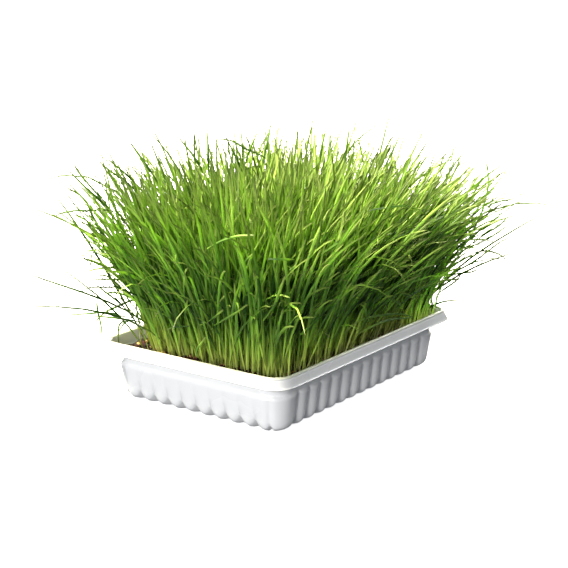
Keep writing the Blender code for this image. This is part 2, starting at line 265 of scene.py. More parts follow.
# The blades that stand out by themselves, placed one by one: width in mm, tone, and the way of each from
# its root to its tip in mm.
LAID_BLADES = (
    (1.8, 0.9, ((-133, -23, 127), (-135, -19, 133), (-136, -16, 138), (-135, -11, 133), (-134, -8, 128),
     (-131, -5, 121))),
    (1.7, 0.8, ((-134, -39, 122), (-136, -40, 130), (-138, -39, 137), (-140, -35, 142))),
    (2.0, 1.0, ((-138, -41, 141), (-140, -54, 148), (-141, -69, 154), (-142, -86, 157))),
    (1.9, 0.9, ((-135, -71, 134), (-137, -76, 139), (-138, -82, 143))),
    (1.5, 0.9, ((-119, -24, 81), (-121, -33, 87), (-123, -42, 94))),
    (1.6, 1.0, ((-120, -31, 80), (-123, -48, 90), (-127, -68, 103))),
    (2.2, 0.9, ((-123, -78, 92), (-126, -89, 104), (-130, -96, 114), (-135, -106, 131))),
    (2.0, 1.1, ((-158, -109, 147), (-143, -109, 144), (-126, -107, 140))),
    (1.6, 0.8, ((-123, -70, 92), (-126, -73, 103), (-130, -78, 114), (-133, -80, 127), (-137, -83, 139))),
    (1.2, -0.3, ((-119, -7, 75), (-118, 10, 71), (-116, 18, 67))),
    (1.7, 0.9, ((-119, -3, 80), (-121, -5, 87), (-124, -10, 97))),
    (2.8, 0.9, ((-94, -88, 76), (-81, -90, 82), (-66, -93, 92), (-49, -95, 99), (-39, -96, 102))),
    (1.8, 1.0, ((-91, -98, 110), (-82, -98, 109), (-73, -98, 108))),
    (2.0, 1.0, ((-41, -96, 103), (-33, -97, 106), (-22, -97, 107), (-11, -97, 107))),
    (2.0, 0.9, ((-23, -91, 87), (-3, -92, 91), (16, -94, 95), (36, -94, 95), (52, -93, 93))),
    (3.2, 1.0, ((7, -90, 75), (21, -91, 78), (35, -93, 85), (44, -94, 90), (46, -96, 96))),
    (2.2, 1.1, ((35, -89, 79), (51, -87, 73), (66, -85, 67))),
    (2.2, 1.1, ((26, -88, 76), (38, -86, 70), (48, -84, 64), (49, -83, 61))),
    (2.0, 1.0, ((70, -80, 50), (48, -83, 58), (24, -84, 63), (0, -85, 67), (-19, -85, 67),
     (-32, -83, 61))),
    (2.2, 1.0, ((68, -81, 50), (32, -83, 57), (3, -84, 58), (-13, -83, 56))),
    (1.8, 1.6, ((1, -84, 63), (-6, -86, 71), (-13, -89, 78), (-21, -90, 83))),
    (1.6, 1.6, ((-3, -85, 68), (-12, -88, 77), (-13, -90, 82))),
    (3.0, 1.0, ((-94, -106, 137), (-77, -107, 141), (-65, -109, 146), (-55, -111, 152))),
    (3.0, 1.0, ((8, -97, 106), (22, -98, 110), (41, -99, 112), (57, -99, 113))),
    (2.8, 0.8, ((-58, -96, 103), (-58, -98, 109), (-54, -101, 118))),
    (1.8, 0.9, ((-129, -105, 133), (-122, -106, 135))),
    (2.6, 0.9, ((-19, -104, 131), (11, -105, 131), (53, -105, 133), (89, -106, 136), (106, -106, 137))),
    (1.7, 0.9, ((-46, -113, 160), (-36, -113, 160), (-14, -113, 158), (12, -111, 154), (31, -109, 147),
     (50, -106, 138))),
    (1.5, 0.9, ((-32, -106, 136), (-1, -106, 135), (27, -105, 132), (57, -103, 126), (75, -101, 119))),
    (1.8, 1.3, ((-112, -7, 50), (-114, -9, 56), (-115, -13, 61), (-118, -22, 70))),
    (1.6, -0.2, ((-96, 74, 58), (-99, 76, 60), (-103, 78, 59), (-104, 79, 52), (-104, 79, 43))),
    (1.0, -0.1, ((-96, 72, 60), (-100, 75, 60), (-104, 78, 53))),
    (1.3, -0.3, ((-101, 72, 147), (-113, 81, 150), (-124, 88, 150), (-129, 92, 151), (-137, 98, 150),
     (-143, 102, 148))),
    (2.0, -0.2, ((-97, 79, 105), (-100, 81, 113), (-105, 85, 123), (-110, 88, 134), (-115, 92, 146),
     (-118, 94, 157), (-124, 98, 163), (-130, 103, 168))),
    (1.8, 0.2, ((-109, 78, 149), (-116, 83, 159), (-124, 88, 168), (-134, 96, 183))),
    (1.6, 0.3, ((-110, 79, 154), (-120, 85, 167), (-130, 93, 185))),
    (1.8, 0, ((-90, 64, 159), (-99, 71, 171), (-107, 76, 178), (-115, 82, 187))),
    (1.6, 0, ((-90, 64, 165), (-99, 71, 177), (-109, 78, 188))),
    (2.0, 0.4, ((-74, 53, 159), (-83, 59, 177), (-89, 64, 189), (-95, 68, 200))),
    (1.4, -0.1, ((-95, 68, 63), (-105, 75, 66), (-114, 81, 70), (-128, 92, 70), (-137, 98, 71))),
    (2.0, -0.6, ((-81, 70, 72), (-89, 76, 75), (-95, 80, 73), (-102, 85, 70), (-108, 89, 67),
     (-114, 94, 60))),
    (0.8, 0.3, ((-112, 80, 68), (-115, 82, 76), (-119, 85, 79), (-120, 85, 74), (-118, 84, 63),
     (-117, 84, 56), (-117, 84, 49))),
    (2.4, 0.1, ((-92, 70, 83), (-99, 76, 93), (-105, 80, 99), (-111, 84, 105), (-118, 89, 110),
     (-125, 94, 113))),
    (1.3, -0.4, ((-90, 69, 93), (-97, 74, 99), (-104, 80, 103), (-112, 85, 104), (-121, 91, 103))),
    (1.6, -0.6, ((-89, 71, 75), (-93, 74, 80), (-98, 77, 84), (-103, 81, 92), (-108, 85, 97),
     (-113, 88, 98))),
    (1.2, 0, ((-93, 69, 89), (-100, 74, 93), (-108, 80, 95), (-120, 88, 96))),
    (1.4, 0, ((-95, 70, 64), (-105, 77, 77), (-113, 83, 86), (-118, 87, 92))),
    (1.3, -0.3, ((-91, 70, 96), (-99, 75, 106), (-108, 82, 111))),
    (1.3, 0.1, ((-91, 68, 59), (-99, 73, 62), (-110, 81, 65), (-123, 90, 68))),
    (1.4, -0.1, ((146, -104, 130), (148, -106, 132), (156, -111, 134), (165, -118, 135))),
    (1.6, 0.1, ((136, -97, 100), (145, -104, 108), (154, -110, 113), (162, -115, 121))),
    (1.5, 0.1, ((138, -98, 98), (149, -107, 105), (161, -115, 113))),
    (1.4, -0.1, ((134, -95, 91), (141, -101, 93), (149, -106, 92), (157, -112, 88), (161, -115, 83))),
    (1.4, 0, ((119, -85, 76), (132, -94, 82), (141, -101, 88), (149, -106, 94), (156, -112, 100),
     (164, -117, 103))),
    (1.1, -0.1, ((108, -77, 58), (116, -83, 64), (123, -88, 69), (127, -91, 74))),
    (1.4, -0.4, ((117, -83, 71), (122, -87, 75), (130, -93, 76), (136, -97, 76), (141, -101, 79))),
    (1.1, -0.3, ((114, -74, 42), (115, -75, 51), (116, -75, 57))),
    (1.1, -0.4, ((112, -73, 43), (112, -73, 51), (111, -72, 59))),
    (1.9, 0.2, ((-53, 30, 172), (-57, 34, 182), (-62, 37, 191), (-70, 42, 203))),
    (1.9, 0.3, ((-51, 29, 172), (-51, 29, 188), (-51, 29, 206))),
    (1.2, 0.1, ((-14, 2, 183), (-20, 7, 187), (-27, 12, 191), (-32, 15, 195), (-36, 19, 198),
     (-46, 26, 200))),
    (1.6, 0.1, ((-29, 13, 173), (-29, 13, 189), (-29, 14, 204))),
    (1.4, 0, ((-29, 13, 172), (-33, 16, 184), (-40, 21, 202))),
    (1.6, 0.3, ((-28, 13, 175), (-24, 10, 190), (-19, 6, 203))),
    (1.8, 0.4, ((-16, 4, 177), (-13, 2, 193), (-10, 0, 209))),
    (1.9, 0.4, ((22, -23, 175), (23, -24, 188), (26, -26, 202))),
    (1.9, 0.4, ((38, -35, 173), (40, -36, 187), (42, -37, 202))),
    (1.8, 0.3, ((62, -51, 160), (70, -57, 178), (77, -62, 195))),
    (1.4, 0, ((109, -85, 158), (115, -90, 169), (121, -94, 177))),
    (1.6, 0.1, ((114, -89, 146), (121, -94, 154), (130, -101, 166))),
    (1.8, 0.2, ((123, -95, 134), (132, -102, 144), (139, -107, 152))),
)


def colour(code):
    """An sRGB hex colour as linear red, green, blue and alpha."""
    parts = [int(code[spot:spot + 2], 16) / 255 for spot in (1, 3, 5)]
    return (*[part / 12.92 if part <= 0.04045 else ((part + 0.055) / 1.055) ** 2.4 for part in parts], 1.0)


def add(tree, kind, inputs=None, stops=None, **settings):
    """Adds a node with its settings. An input is a value, or a (node, output name) pair to link. stops are a
    colour ramp's (place, hex colour) pairs."""
    made = tree.nodes.new(kind)
    for name, value in settings.items():
        setattr(made, name, value)
    for name, value in (inputs or {}).items():
        if isinstance(value, tuple) and isinstance(value[0], bpy.types.Node):
            tree.links.new(value[0].outputs[value[1]], made.inputs[name])
        else:
            made.inputs[name].default_value = value
    if stops:
        ramp = made.color_ramp
        for place, _ in stops[2:]:
            ramp.elements.new(place)
        for element, (place, code) in zip(ramp.elements, stops):
            element.position = place
            element.color = colour(code)
    return made


def new_material(name):
    """A material with an empty node tree but for its output."""
    made = bpy.data.materials.new(name)
    made.use_nodes = True
    made.node_tree.nodes.clear()
    return made, made.node_tree, made.node_tree.nodes.new("ShaderNodeOutputMaterial")


def wheat_leaf():
    """Wheat leaf: a thin ribbed blade with a waxy skin, pale and yellowish in the sheath, deep green in its
    middle and lighter to the tip, the deep middle partly painted shade and the lighter upper part partly
    painted light. Light passes through it yellow-green."""
    made, tree, out = new_material("wheat_leaf_waxy")
    place = add(tree, "ShaderNodeUVMap", uv_map="blade")
    split = add(tree, "ShaderNodeSeparateXYZ", {"Vector": (place, "UV")})
    tone = add(tree, "ShaderNodeAttribute", attribute_name="tone")
    spot = add(tree, "ShaderNodeTexCoord")
    # Along the blade the pale sheath is the leaf's own colour, but each ramp's darker middle is partly
    # painted shade under the tops, and its lighter upper part partly painted light from above.
    along = add(tree, "ShaderNodeValToRGB", {"Fac": (split, "Y")}, stops=(
        (0.0, "#d5dc96"), (0.10, "#c6d463"), (0.26, "#98be42"), (0.42, "#3a6522"), (0.60, "#2e5221"),
        (0.75, "#729f38"), (0.90, "#9dbc50"), (1.0, "#78874e")))
    young = add(tree, "ShaderNodeValToRGB", {"Fac": (split, "Y")}, stops=(
        (0.0, "#e2e3aa"), (0.12, "#d3df74"), (0.30, "#a0c64e"), (0.58, "#77a044"), (0.82, "#a8c657"),
        (1.0, "#909c5a")))
    mix = add(tree, "ShaderNodeMix", {"Factor": (tone, "Fac"), "A": (along, "Color"), "B": (young, "Color")},
              data_type="RGBA")
    # Veins run the length of the blade, some 0.2 mm apart: too fine to show, so five are drawn across it.
    veins = add(tree, "ShaderNodeMath", {0: (split, "X"), 1: 5 * 2 * math.pi}, operation="MULTIPLY")
    wave = add(tree, "ShaderNodeMath", {0: (veins, "Value")}, operation="SINE")
    # Streaks and blotches some 5 mm long.
    streak = add(tree, "ShaderNodeTexNoise", {"Vector": (spot, "Object"), "Scale": 180.0, "Detail": 2.0})
    shade = add(tree, "ShaderNodeMath", {0: (wave, "Value"), 1: 0.06, 2: 0.95}, operation="MULTIPLY_ADD")
    patch = add(tree, "ShaderNodeMath", {0: (streak, "Fac"), 1: 0.3, 2: -0.15}, operation="MULTIPLY_ADD")
    mottled = add(tree, "ShaderNodeMath", {0: (shade, "Value"), 1: (patch, "Value")}, operation="ADD")
    lighter = add(tree, "ShaderNodeMath", {0: (tone, "Fac"), 1: 0.52, 2: -0.19}, operation="MULTIPLY_ADD")
    level = add(tree, "ShaderNodeMath", {0: (mottled, "Value"), 1: (lighter, "Value")}, operation="ADD")
    skin = add(tree, "ShaderNodeMix", {"Factor": 1.0, "A": (mix, "Result"), "B": (level, "Value")},
               data_type="RGBA", blend_type="MULTIPLY")
    bump = add(tree, "ShaderNodeBump", {"Height": (wave, "Value"), "Strength": 0.25, "Distance": 0.1 * MM})
    leaf = add(tree, "ShaderNodeBsdfPrincipled", {
        "Base Color": (skin, "Result"), "Roughness": 0.36, "IOR": 1.45, "Normal": (bump, "Normal")})
    lit = add(tree, "ShaderNodeValToRGB", {"Fac": (split, "Y")}, stops=(
        (0.0, "#d9d98c"), (0.12, "#c9dc60"), (0.38, "#74a636"), (0.60, "#82b23a"), (0.80, "#aad04c"),
        (1.0, "#829450")))
    warm = add(tree, "ShaderNodeMix", {"Factor": 1.0, "A": (lit, "Color"), "B": (level, "Value")},
               data_type="RGBA", blend_type="MULTIPLY")
    through = add(tree, "ShaderNodeBsdfTranslucent", {"Color": (warm, "Result")})
    both = add(tree, "ShaderNodeMixShader", {"Fac": 0.35, 1: (leaf, "BSDF"), 2: (through, "BSDF")})
    tree.links.new(both.outputs["Shader"], out.inputs["Surface"])
    return made


def formed_plastic():
    """High-impact polystyrene sheet, vacuum-formed: clean white, semi-gloss, a little rippled by the mould,
    its rim and lip painted greyer as painted shade, and its top painted pale yellow-green as painted shade
    and green light from the grass."""
    made, tree, out = new_material("formed_polystyrene_sheet")
    spot = add(tree, "ShaderNodeTexCoord")
    # The mould's grain is about 0.4 mm, and the sheet draws thin in ripples some 25 mm across.
    grain = add(tree, "ShaderNodeTexNoise", {"Vector": (spot, "Object"), "Scale": 2500.0, "Detail": 2.0})
    ripple = add(tree, "ShaderNodeTexNoise", {"Vector": (spot, "Object"), "Scale": 40.0, "Detail": 1.0})
    tint = add(tree, "ShaderNodeValToRGB", {"Fac": (grain, "Fac")}, stops=(
        (0.3, "#f5f5f5"), (0.7, "#f9f9f8")))
    rough = add(tree, "ShaderNodeMapRange", {"Value": (ripple, "Fac"), "To Min": 0.25, "To Max": 0.29})
    high = add(tree, "ShaderNodeSeparateXYZ", {"Vector": (spot, "Object")})
    # Painted shade and painted green light: the top of the rim is pale olive, for the grass's shade and the
    # green light it throws there.
    top = add(tree, "ShaderNodeMapRange", {
        "Value": (high, "Z"), "From Min": 46.2 * MM, "From Max": 47.6 * MM})
    # Painted shade: the rim and lip, from about 38 mm up, are greyer than the rest of the sheet.
    rim = add(tree, "ShaderNodeMapRange", {
        "Value": (high, "Z"), "From Min": 37.4 * MM, "From Max": 38.8 * MM})
    painted_shade_rim = add(tree, "ShaderNodeMix", {
        "Factor": (rim, "Result"), "A": (tint, "Color"), "B": colour("#e8e8e7")}, data_type="RGBA")
    top_painted_green_shade = add(tree, "ShaderNodeMix", {
        "Factor": (top, "Result"), "A": (painted_shade_rim, "Result"), "B": colour("#d9dcc0")}, data_type="RGBA")
    low = add(tree, "ShaderNodeBump", {"Height": (ripple, "Fac"), "Strength": 0.03, "Distance": 1 * MM})
    bump = add(tree, "ShaderNodeBump", {
        "Height": (grain, "Fac"), "Strength": 0.08, "Distance": 0.1 * MM, "Normal": (low, "Normal")})
    sheet = add(tree, "ShaderNodeBsdfPrincipled", {
        "Base Color": (top_painted_green_shade, "Result"), "Roughness": (rough, "Result"), "IOR": 1.49,
        "Normal": (bump, "Normal")})
    tree.links.new(sheet.outputs["BSDF"], out.inputs["Surface"])
    return made


def growing_soil():
    """Damp peat and bark soil: near black between its crumbs, brown on them, with rusty flecks of coir."""
    made, tree, out = new_material("damp_peat_soil")
    spot = add(tree, "ShaderNodeTexCoord")
    # Crumbs are about 2 mm across, in clods of about 8 mm.
    crumb = add(tree, "ShaderNodeTexNoise", {"Vector": (spot, "Object"), "Scale": 500.0, "Detail": 5.0})
    clod = add(tree, "ShaderNodeTexNoise", {"Vector": (spot, "Object"), "Scale": 120.0, "Detail": 3.0})
    dark = add(tree, "ShaderNodeValToRGB", {"Fac": (crumb, "Fac")}, stops=(
        (0.30, "#1c110a"), (0.48, "#3a2415"), (0.62, "#5e3c22"), (0.78, "#8a5a34")))
    rust = add(tree, "ShaderNodeValToRGB", {"Fac": (clod, "Fac")}, stops=(
        (0.45, "#6b5a4c"), (0.65, "#ffb890")))
    tint = add(tree, "ShaderNodeMix", {"Factor": 1.0, "A": (dark, "Color"), "B": (rust, "Color")},
               data_type="RGBA", blend_type="MULTIPLY")
    bump = add(tree, "ShaderNodeBump", {"Height": (crumb, "Fac"), "Strength": 0.8, "Distance": 1 * MM})
    soil = add(tree, "ShaderNodeBsdfPrincipled", {
        "Base Color": (tint, "Result"), "Roughness": 0.92, "Normal": (bump, "Normal")})
    tree.links.new(soil.outputs["BSDF"], out.inputs["Surface"])
    return made


def spent_seed():
    """Wheat grain that has sprouted: a dull straw-coloured husk, blotched and wrinkled."""
    made, tree, out = new_material("wheat_husk")
    spot = add(tree, "ShaderNodeTexCoord")
    # Wrinkles are about 1.4 mm apart.
    fine = add(tree, "ShaderNodeTexNoise", {"Vector": (spot, "Object"), "Scale": 700.0, "Detail": 3.0})
    tint = add(tree, "ShaderNodeValToRGB", {"Fac": (fine, "Fac")}, stops=(
        (0.3, "#7a5a30"), (0.55, "#b08a4e"), (0.75, "#cfb37a")))
    bump = add(tree, "ShaderNodeBump", {"Height": (fine, "Fac"), "Strength": 0.4, "Distance": 0.3 * MM})
    husk = add(tree, "ShaderNodeBsdfPrincipled", {
        "Base Color": (tint, "Color"), "Roughness": 0.6, "Normal": (bump, "Normal")})
    tree.links.new(husk.outputs["BSDF"], out.inputs["Surface"])
    return made


def plain_floor():
    """White paper sweep, lit so evenly that it keeps only a soft shadow."""
    made, tree, out = new_material("white_sweep")
    paper = add(tree, "ShaderNodeBsdfDiffuse", {"Color": colour("#ffffff")})
    glow = add(tree, "ShaderNodeEmission", {"Color": colour("#ffffff"), "Strength": 0.82})
    both = add(tree, "ShaderNodeAddShader", {0: (paper, "BSDF"), 1: (glow, "Emission")})
    tree.links.new(both.outputs["Shader"], out.inputs["Surface"])
    return made


def piece_from(name, points, faces, material):
    """An object of the given points and faces, in metres in the shared frame."""
    mesh = bpy.data.meshes.new(name)
    mesh.from_pydata(points, [], faces)
    mesh.materials.append(material)
    piece = bpy.data.objects.new(name, mesh)
    bpy.context.scene.collection.objects.link(piece)
    return piece


def smooth(piece, degrees):
    """Shades a piece smooth but for edges sharper than the angle."""
    bpy.ops.object.select_all(action="DESELECT")
    piece.select_set(True)
    bpy.context.view_layer.objects.active = piece
    bpy.ops.object.shade_smooth_by_angle(angle=math.radians(degrees))


def softened(stations):
    """The profile with each bend rounded by a short curve, from one side of the station to the other."""
    rounded = [stations[0]]
    for before, here, after in zip(stations, stations[1:], stations[2:]):
        here_at = np.array(here)
        ends = []
        for other in (before, after):
            run = np.array(other) - here_at
            reach = min(BEND / np.hypot(run[0], run[1]), MOST_OF_RUN)
            ends.append(here_at + run * reach)
        for step in range(BEND_STEPS + 1):
            share = step / BEND_STEPS
            one = ends[0] + (here_at - ends[0]) * share
            two = here_at + (ends[1] - here_at) * share
            rounded.append(tuple(one + (two - one) * share))
    rounded.append(stations[-1])
    return rounded


def tray_ring(inset, height, radius, share):
    """Points round the tray at one station of its profile, which is in mm. Past the last groove at each end
    of a side the wall comes out again over half a pitch."""
    depth = share * FLUTE_DEPTH
    lift = share * FLUTE_LIFT * max(0.0, 1 - height / FOOT_BAND)
    half_x = TRAY_LENGTH / 2 - inset * MM
    half_y = TRAY_WIDTH / 2 - inset * MM
    radius, height = radius * MM, height * MM
    sides = (
        (Vector((1, 0)), half_x, half_y, LONG_SIDE_FLUTES),
        (Vector((0, 1)), half_y, half_x, SHORT_SIDE_FLUTES),
        (Vector((-1, 0)), half_x, half_y, LONG_SIDE_FLUTES),
        (Vector((0, -1)), half_y, half_x, SHORT_SIDE_FLUTES),
    )
    points = []
    for side, (forward, run, out_by, flutes) in enumerate(sides):
        outward = Vector((forward.y, -forward.x))
        straight = run - radius
        reach = min((flutes + 1) * FLUTE_PITCH / 2, straight)
        faded = SHORT_SIDE_FADE + (1 - SHORT_SIDE_FADE) * max(0.0, 1 - height / FADE_HEIGHT)
        deep = depth * (SHORT_SIDE_DEPTH * faded if side % 2 else 1)
        for step in range((flutes + 1) * FLUTE_STOPS + 1):
            turn = step / FLUTE_STOPS - 0.5
            along = ((turn + 0.5) / (flutes + 1) * 2 - 1) * reach
            swell = abs(math.sin(math.pi * turn))
            into = 1 - swell ** FLUTE_FULLNESS
            place = forward * along + outward * (out_by - into * deep)
            points.append((place.x, place.y, height + (1 - swell) * lift))
        centre = forward * straight + outward * (out_by - radius)
        for step in range(CORNER_STEPS + 1):
            turn = step / CORNER_STEPS * math.pi / 2
            from_short_side = turn if side % 2 else math.pi / 2 - turn
            notch = math.exp(-((from_short_side - NOTCH_TURN) / NOTCH_SPREAD) ** 2)
            away = radius - CORNER_NOTCH * share * notch
            place = centre + outward * away * math.cos(turn) + forward * away * math.sin(turn)
            points.append((place.x, place.y, height + lift * notch * NOTCH_LIFT))
    return points


def make_tray(material):
    """The formed sheet: a flat grid with a row for each station of the section, rolled up to the tray's
    shape, joined at its seam, closed at its foot and thickened inwards."""
    rings = [tray_ring(*station) for station in softened(TRAY_PROFILE)]
    bpy.ops.object.select_all(action="DESELECT")
    bpy.ops.mesh.primitive_grid_add(x_subdivisions=len(rings[0]), y_subdivisions=len(rings) - 1, size=1)
    tray = bpy.context.active_object
    tray.name = tray.data.name = "formed_tray"
    rolled = [point for ring in rings for point in ring + ring[:1]]
    for vert, point in zip(tray.data.vertices, rolled):
        vert.co = point
    bpy.ops.object.mode_set(mode="EDIT")
    bpy.ops.mesh.select_all(action="DESELECT")
    bpy.ops.object.mode_set(mode="OBJECT")
    for vert in tray.data.vertices[:len(rings[0]) + 1]:
        vert.select = True
    bpy.ops.object.mode_set(mode="EDIT")
    bpy.ops.mesh.select_mode(type="VERT")
    bpy.ops.mesh.remove_doubles(threshold=TOUCHING)
    bpy.ops.mesh.edge_face_add()
    bpy.ops.mesh.select_all(action="SELECT")
    bpy.ops.mesh.remove_doubles(threshold=TOUCHING)
    bpy.ops.mesh.normals_make_consistent(inside=False)
    bpy.ops.object.mode_set(mode="OBJECT")
    foot = max(tray.data.polygons, key=lambda face: len(face.vertices))
    if foot.normal.z > 0:
        tray.data.flip_normals()
    wall = tray.modifiers.new("wall", "SOLIDIFY")
    wall.thickness = SHEET
    wall.offset = -1
    wall.use_even_offset = True
    wall.use_quality_normals = True
    bpy.ops.object.modifier_apply(modifier=wall.name)
    tray.data.materials.append(material)
    smooth(tray, 42)
    return tray


def sown_half_sides():
    """Half the length and half the width of the ground that the blades are rooted in."""
    inset = SOIL_EDGE_INSET + MAT_MARGIN + SOWN_MARGIN
    return TRAY_LENGTH / 2 - inset, TRAY_WIDTH / 2 - inset


def is_sown(x, y, half_x, half_y):
    """False in the bare corner, at -X and +Y, and past the soil's round corners."""
    if math.hypot(x + half_x, y - half_y) < BARE_CORNER_RADIUS:
        return False
    radius = MAT_RADIUS - SOWN_MARGIN / 2
    past_x, past_y = abs(x) - half_x + radius, abs(y) - half_y + radius
    return past_x < 0 or past_y < 0 or math.hypot(past_x, past_y) < radius


def blade_points(root, heading, lean, droop, length, swing=0.0):
    """The middle line of a blade that rises from its root and bends over as it goes, as evenly spaced points.
    swing turns the way that it droops from the way that it leans."""
    points = [Vector(root)]
    leans = Vector((math.cos(heading), math.sin(heading)))
    droops = Vector((math.cos(heading + swing), math.sin(heading + swing)))
    for step in range(BLADE_STEPS):
        share = (step + 0.5) / BLADE_STEPS
        over = leans * math.radians(lean * (LEAN_AT_ROOT + share))
        over += droops * math.radians(droop * share**DROOP_POWER)
        tilt = over.length
        flat = math.sin(tilt) / max(tilt, 1e-6)
        along = Vector((flat * over.x, flat * over.y, math.cos(tilt)))
        points.append(points[-1] + along * (length / BLADE_STEPS))
    return points


def at_slices(points):
    """Where a blade's middle line passes each level above the soil, as {level number: (x, y)}."""
    found = {}
    for low, high in zip(points, points[1:]):
        if high.z <= low.z:
            continue
        first = math.ceil((low.z - SOIL_TOP) / SLICE)
        last = math.floor((high.z - SOIL_TOP) / SLICE)
        for level in range(first, last + 1):
            share = (SOIL_TOP + level * SLICE - low.z) / (high.z - low.z)
            found[level] = low.lerp(high, share).xy
    return found


def is_clear(slices, placed):
    """True where a blade keeps off all those placed before it at every level that both reach."""
    for other in placed:
        for level, place in slices.items():
            if level in other and (place - other[level]).length < CLEAR_OF_NEXT:
                return False
    return True


def draw_blade(draw, x, y, half_x, half_y):
    """A blade rooted at x, y as (root, heading, lean, droop, length), its width and its turn about its line.
    It leans outwards, the more so the nearer it stands to the edge, and a little to the light."""
    edge = max(abs(x) / half_x, abs(y) / half_y)
    out = Vector((x, y)).normalized() * EDGE_LEAN * edge
    lean = out + Vector(LEAN_TO_LIGHT) + Vector((draw.gauss(0, LEAN_SCATTER), draw.gauss(0, LEAN_SCATTER)))
    droop = max(0.0, draw.gauss(DROOP + EDGE_DROOP * edge**3, DROOP_SCATTER))
    length = BLADE_LENGTH * draw.uniform(*LENGTH_RANGE)
    line = (Vector((x, y, SOIL_TOP - ROOT_DEPTH)), math.atan2(lean.y, lean.x), lean.length, droop, length)
    return line, BLADE_WIDTH * draw.uniform(*WIDTH_RANGE), math.radians(draw.uniform(-MOST_TURN, MOST_TURN))


def plan_main_blades():
    """The solid's own blades as (line, width, turn): the strays, then those of its loose triangular grid."""
    draw = random.Random(SEED)
    half_x, half_y = sown_half_sides()
    plan, placed = [], []
    for share_x, share_y, heading, lean, droop, length in STRAY_BLADES:
        root = Vector((share_x * half_x, share_y * half_y, SOIL_TOP - ROOT_DEPTH))
        line = (root, math.radians(heading), lean, droop, length * MM)
        plan.append((line, BLADE_WIDTH, 0.0))
        placed.append(at_slices(blade_points(*line)))
    row_step = BLADE_SPACING * math.sqrt(3) / 2
    rows = int(2 * half_y / row_step) + 1
    columns = int(2 * half_x / BLADE_SPACING) + 1
    for row in range(rows):
        for column in range(columns):
            middle_x = (column - (columns - 1) / 2 + GRID_SHIFT - 0.5 * (row % 2)) * BLADE_SPACING
            middle_y = (row - (rows - 1) / 2) * row_step
            for _ in range(MOST_TRIES):
                x = middle_x + draw.uniform(-GRID_SCATTER, GRID_SCATTER) * BLADE_SPACING
                y = middle_y + draw.uniform(-GRID_SCATTER, GRID_SCATTER) * BLADE_SPACING
                x = max(-half_x, min(half_x, x))
                y = max(-half_y, min(half_y, y))
                line, width, turn = draw_blade(draw, x, y, half_x, half_y)
                if not is_sown(x, y, half_x, half_y):
                    continue
                slices = at_slices(blade_points(*line))
                if is_clear(slices, placed):
                    plan.append((line, width, turn))
                    placed.append(slices)
                    break
    return plan


def plan_fine_blades():
    """The rest of the stand, sown at random, as (line, width, turn). The tips end at every height and point
    every way. A blade that would hang low over the rim, or reach past the solid, is left out."""
    draw = random.Random(FINE_SEED)
    half_x, half_y = sown_half_sides()
    plan = []
    while len(plan) < FINE_BLADES:
        x, y = draw.uniform(-half_x, half_x), draw.uniform(-half_y, half_y)
        (root, heading, lean, _, length), width, turn = draw_blade(draw, x, y, half_x, half_y)
        corner = (x / half_x - y / half_y) / 2
        thinned = max(-corner * THIN_CORNER, THIN_FRONT if y < FRONT_DEPTH - half_y else 0)
        if not is_sown(x, y, half_x, half_y) or draw.random() < thinned:
            continue
        over = Vector((math.cos(heading), math.sin(heading))) * lean
        over += Vector((draw.gauss(0, FINE_SCATTER), draw.gauss(0, FINE_SCATTER)))
        over += TO_CORNER * CORNER_LEAN * corner * abs(corner)
        swing = draw.gauss(0, FINE_SWING)
        droop = abs(draw.gauss(0, FINE_DROOP)) + MORE_DROOP * draw.random() ** 3
        length *= draw.triangular(*FINE_LENGTH) * (MIDDLE_LENGTH + CORNER_LONGER * abs(corner))
        width *= FINE_SLIMMER
        kind = draw.random()
        if kind < SHORT_SHARE:
            length *= draw.uniform(*SHORT_LENGTH)
            droop += draw.uniform(*SHORT_DROOP)
        elif kind < SHORT_SHARE + HOOKED_SHARE:
            droop += draw.uniform(*HOOKED_DROOP)
        line = (root, math.atan2(over.y, over.x), over.length, droop, length, swing)
        astray = [
            at for at in blade_points(*line)
            if at.z < OVER_RIM and (abs(at.x) > half_x + MOST_OVERHANG or abs(at.y) > half_y + MOST_OVERHANG)
            or abs(at.x) > FURTHEST[0] or abs(at.y) > FURTHEST[1]
        ]
        if not astray:
            plan.append((line, width, turn))
    return plan


def plan_tuft():
    """The tuft in the tray's corner at +X and -Y, up to its wall, as (line, width, turn, tone)."""
    draw = random.Random(TUFT_SEED)
    half_x, half_y = sown_half_sides()
    plan = []
    for _ in range(TUFT_BLADES):
        x, y = half_x + draw.uniform(-34, 4) * MM, -half_y + draw.uniform(-5, 14) * MM
        root = Vector((x, y, SOIL_TOP - ROOT_DEPTH))
        line = (root, math.radians(draw.gauss(-35, 35)), draw.uniform(4, 28), draw.uniform(0, 20),
                draw.uniform(*TUFT_LENGTH) * MM)
        # Tones past the palest brighten the tuft as painted light.
        plan.append((line, draw.uniform(*TUFT_WIDTH) * MM, draw.uniform(-1, 1), draw.uniform(*TUFT_TONE_PAINTED_LIGHT)))
    return plan


def along_line(line, turn):
    """A sown blade's middle line, and the level way across it."""
    heading = line[1] + turn
    return np.array(blade_points(*line)), np.array((-math.sin(heading), math.cos(heading), 0.0))


def flat_on(middle):
    """The way across a blade that shows its full width from the front."""
    across = np.cross(middle[-1] - middle[0], CAMERA_SIDE)
    return across / np.linalg.norm(across)


def along_places(places):
    """A laid blade's middle line, on a smooth curve through its places, and the way across it."""
    knots = np.array(places, dtype=float) * MM
    knots = np.vstack((2 * knots[0] - knots[1], knots, 2 * knots[-1] - knots[-2]))
    spans = len(knots) - 3
    middle = []
    for step in range(BLADE_STEPS + 1):
        at = min(step / BLADE_STEPS * spans, spans - 1e-6)
        low = int(at)
        t = at - low
        a, b, c, d = knots[low:low + 4]
        middle.append(0.5 * (
            2 * b + (c - a) * t + (2 * a - 5 * b + 4 * c - d) * t**2 + (3 * b - a - 3 * c + d) * t**3))
    middle = np.array(middle)
    return middle, flat_on(middle)


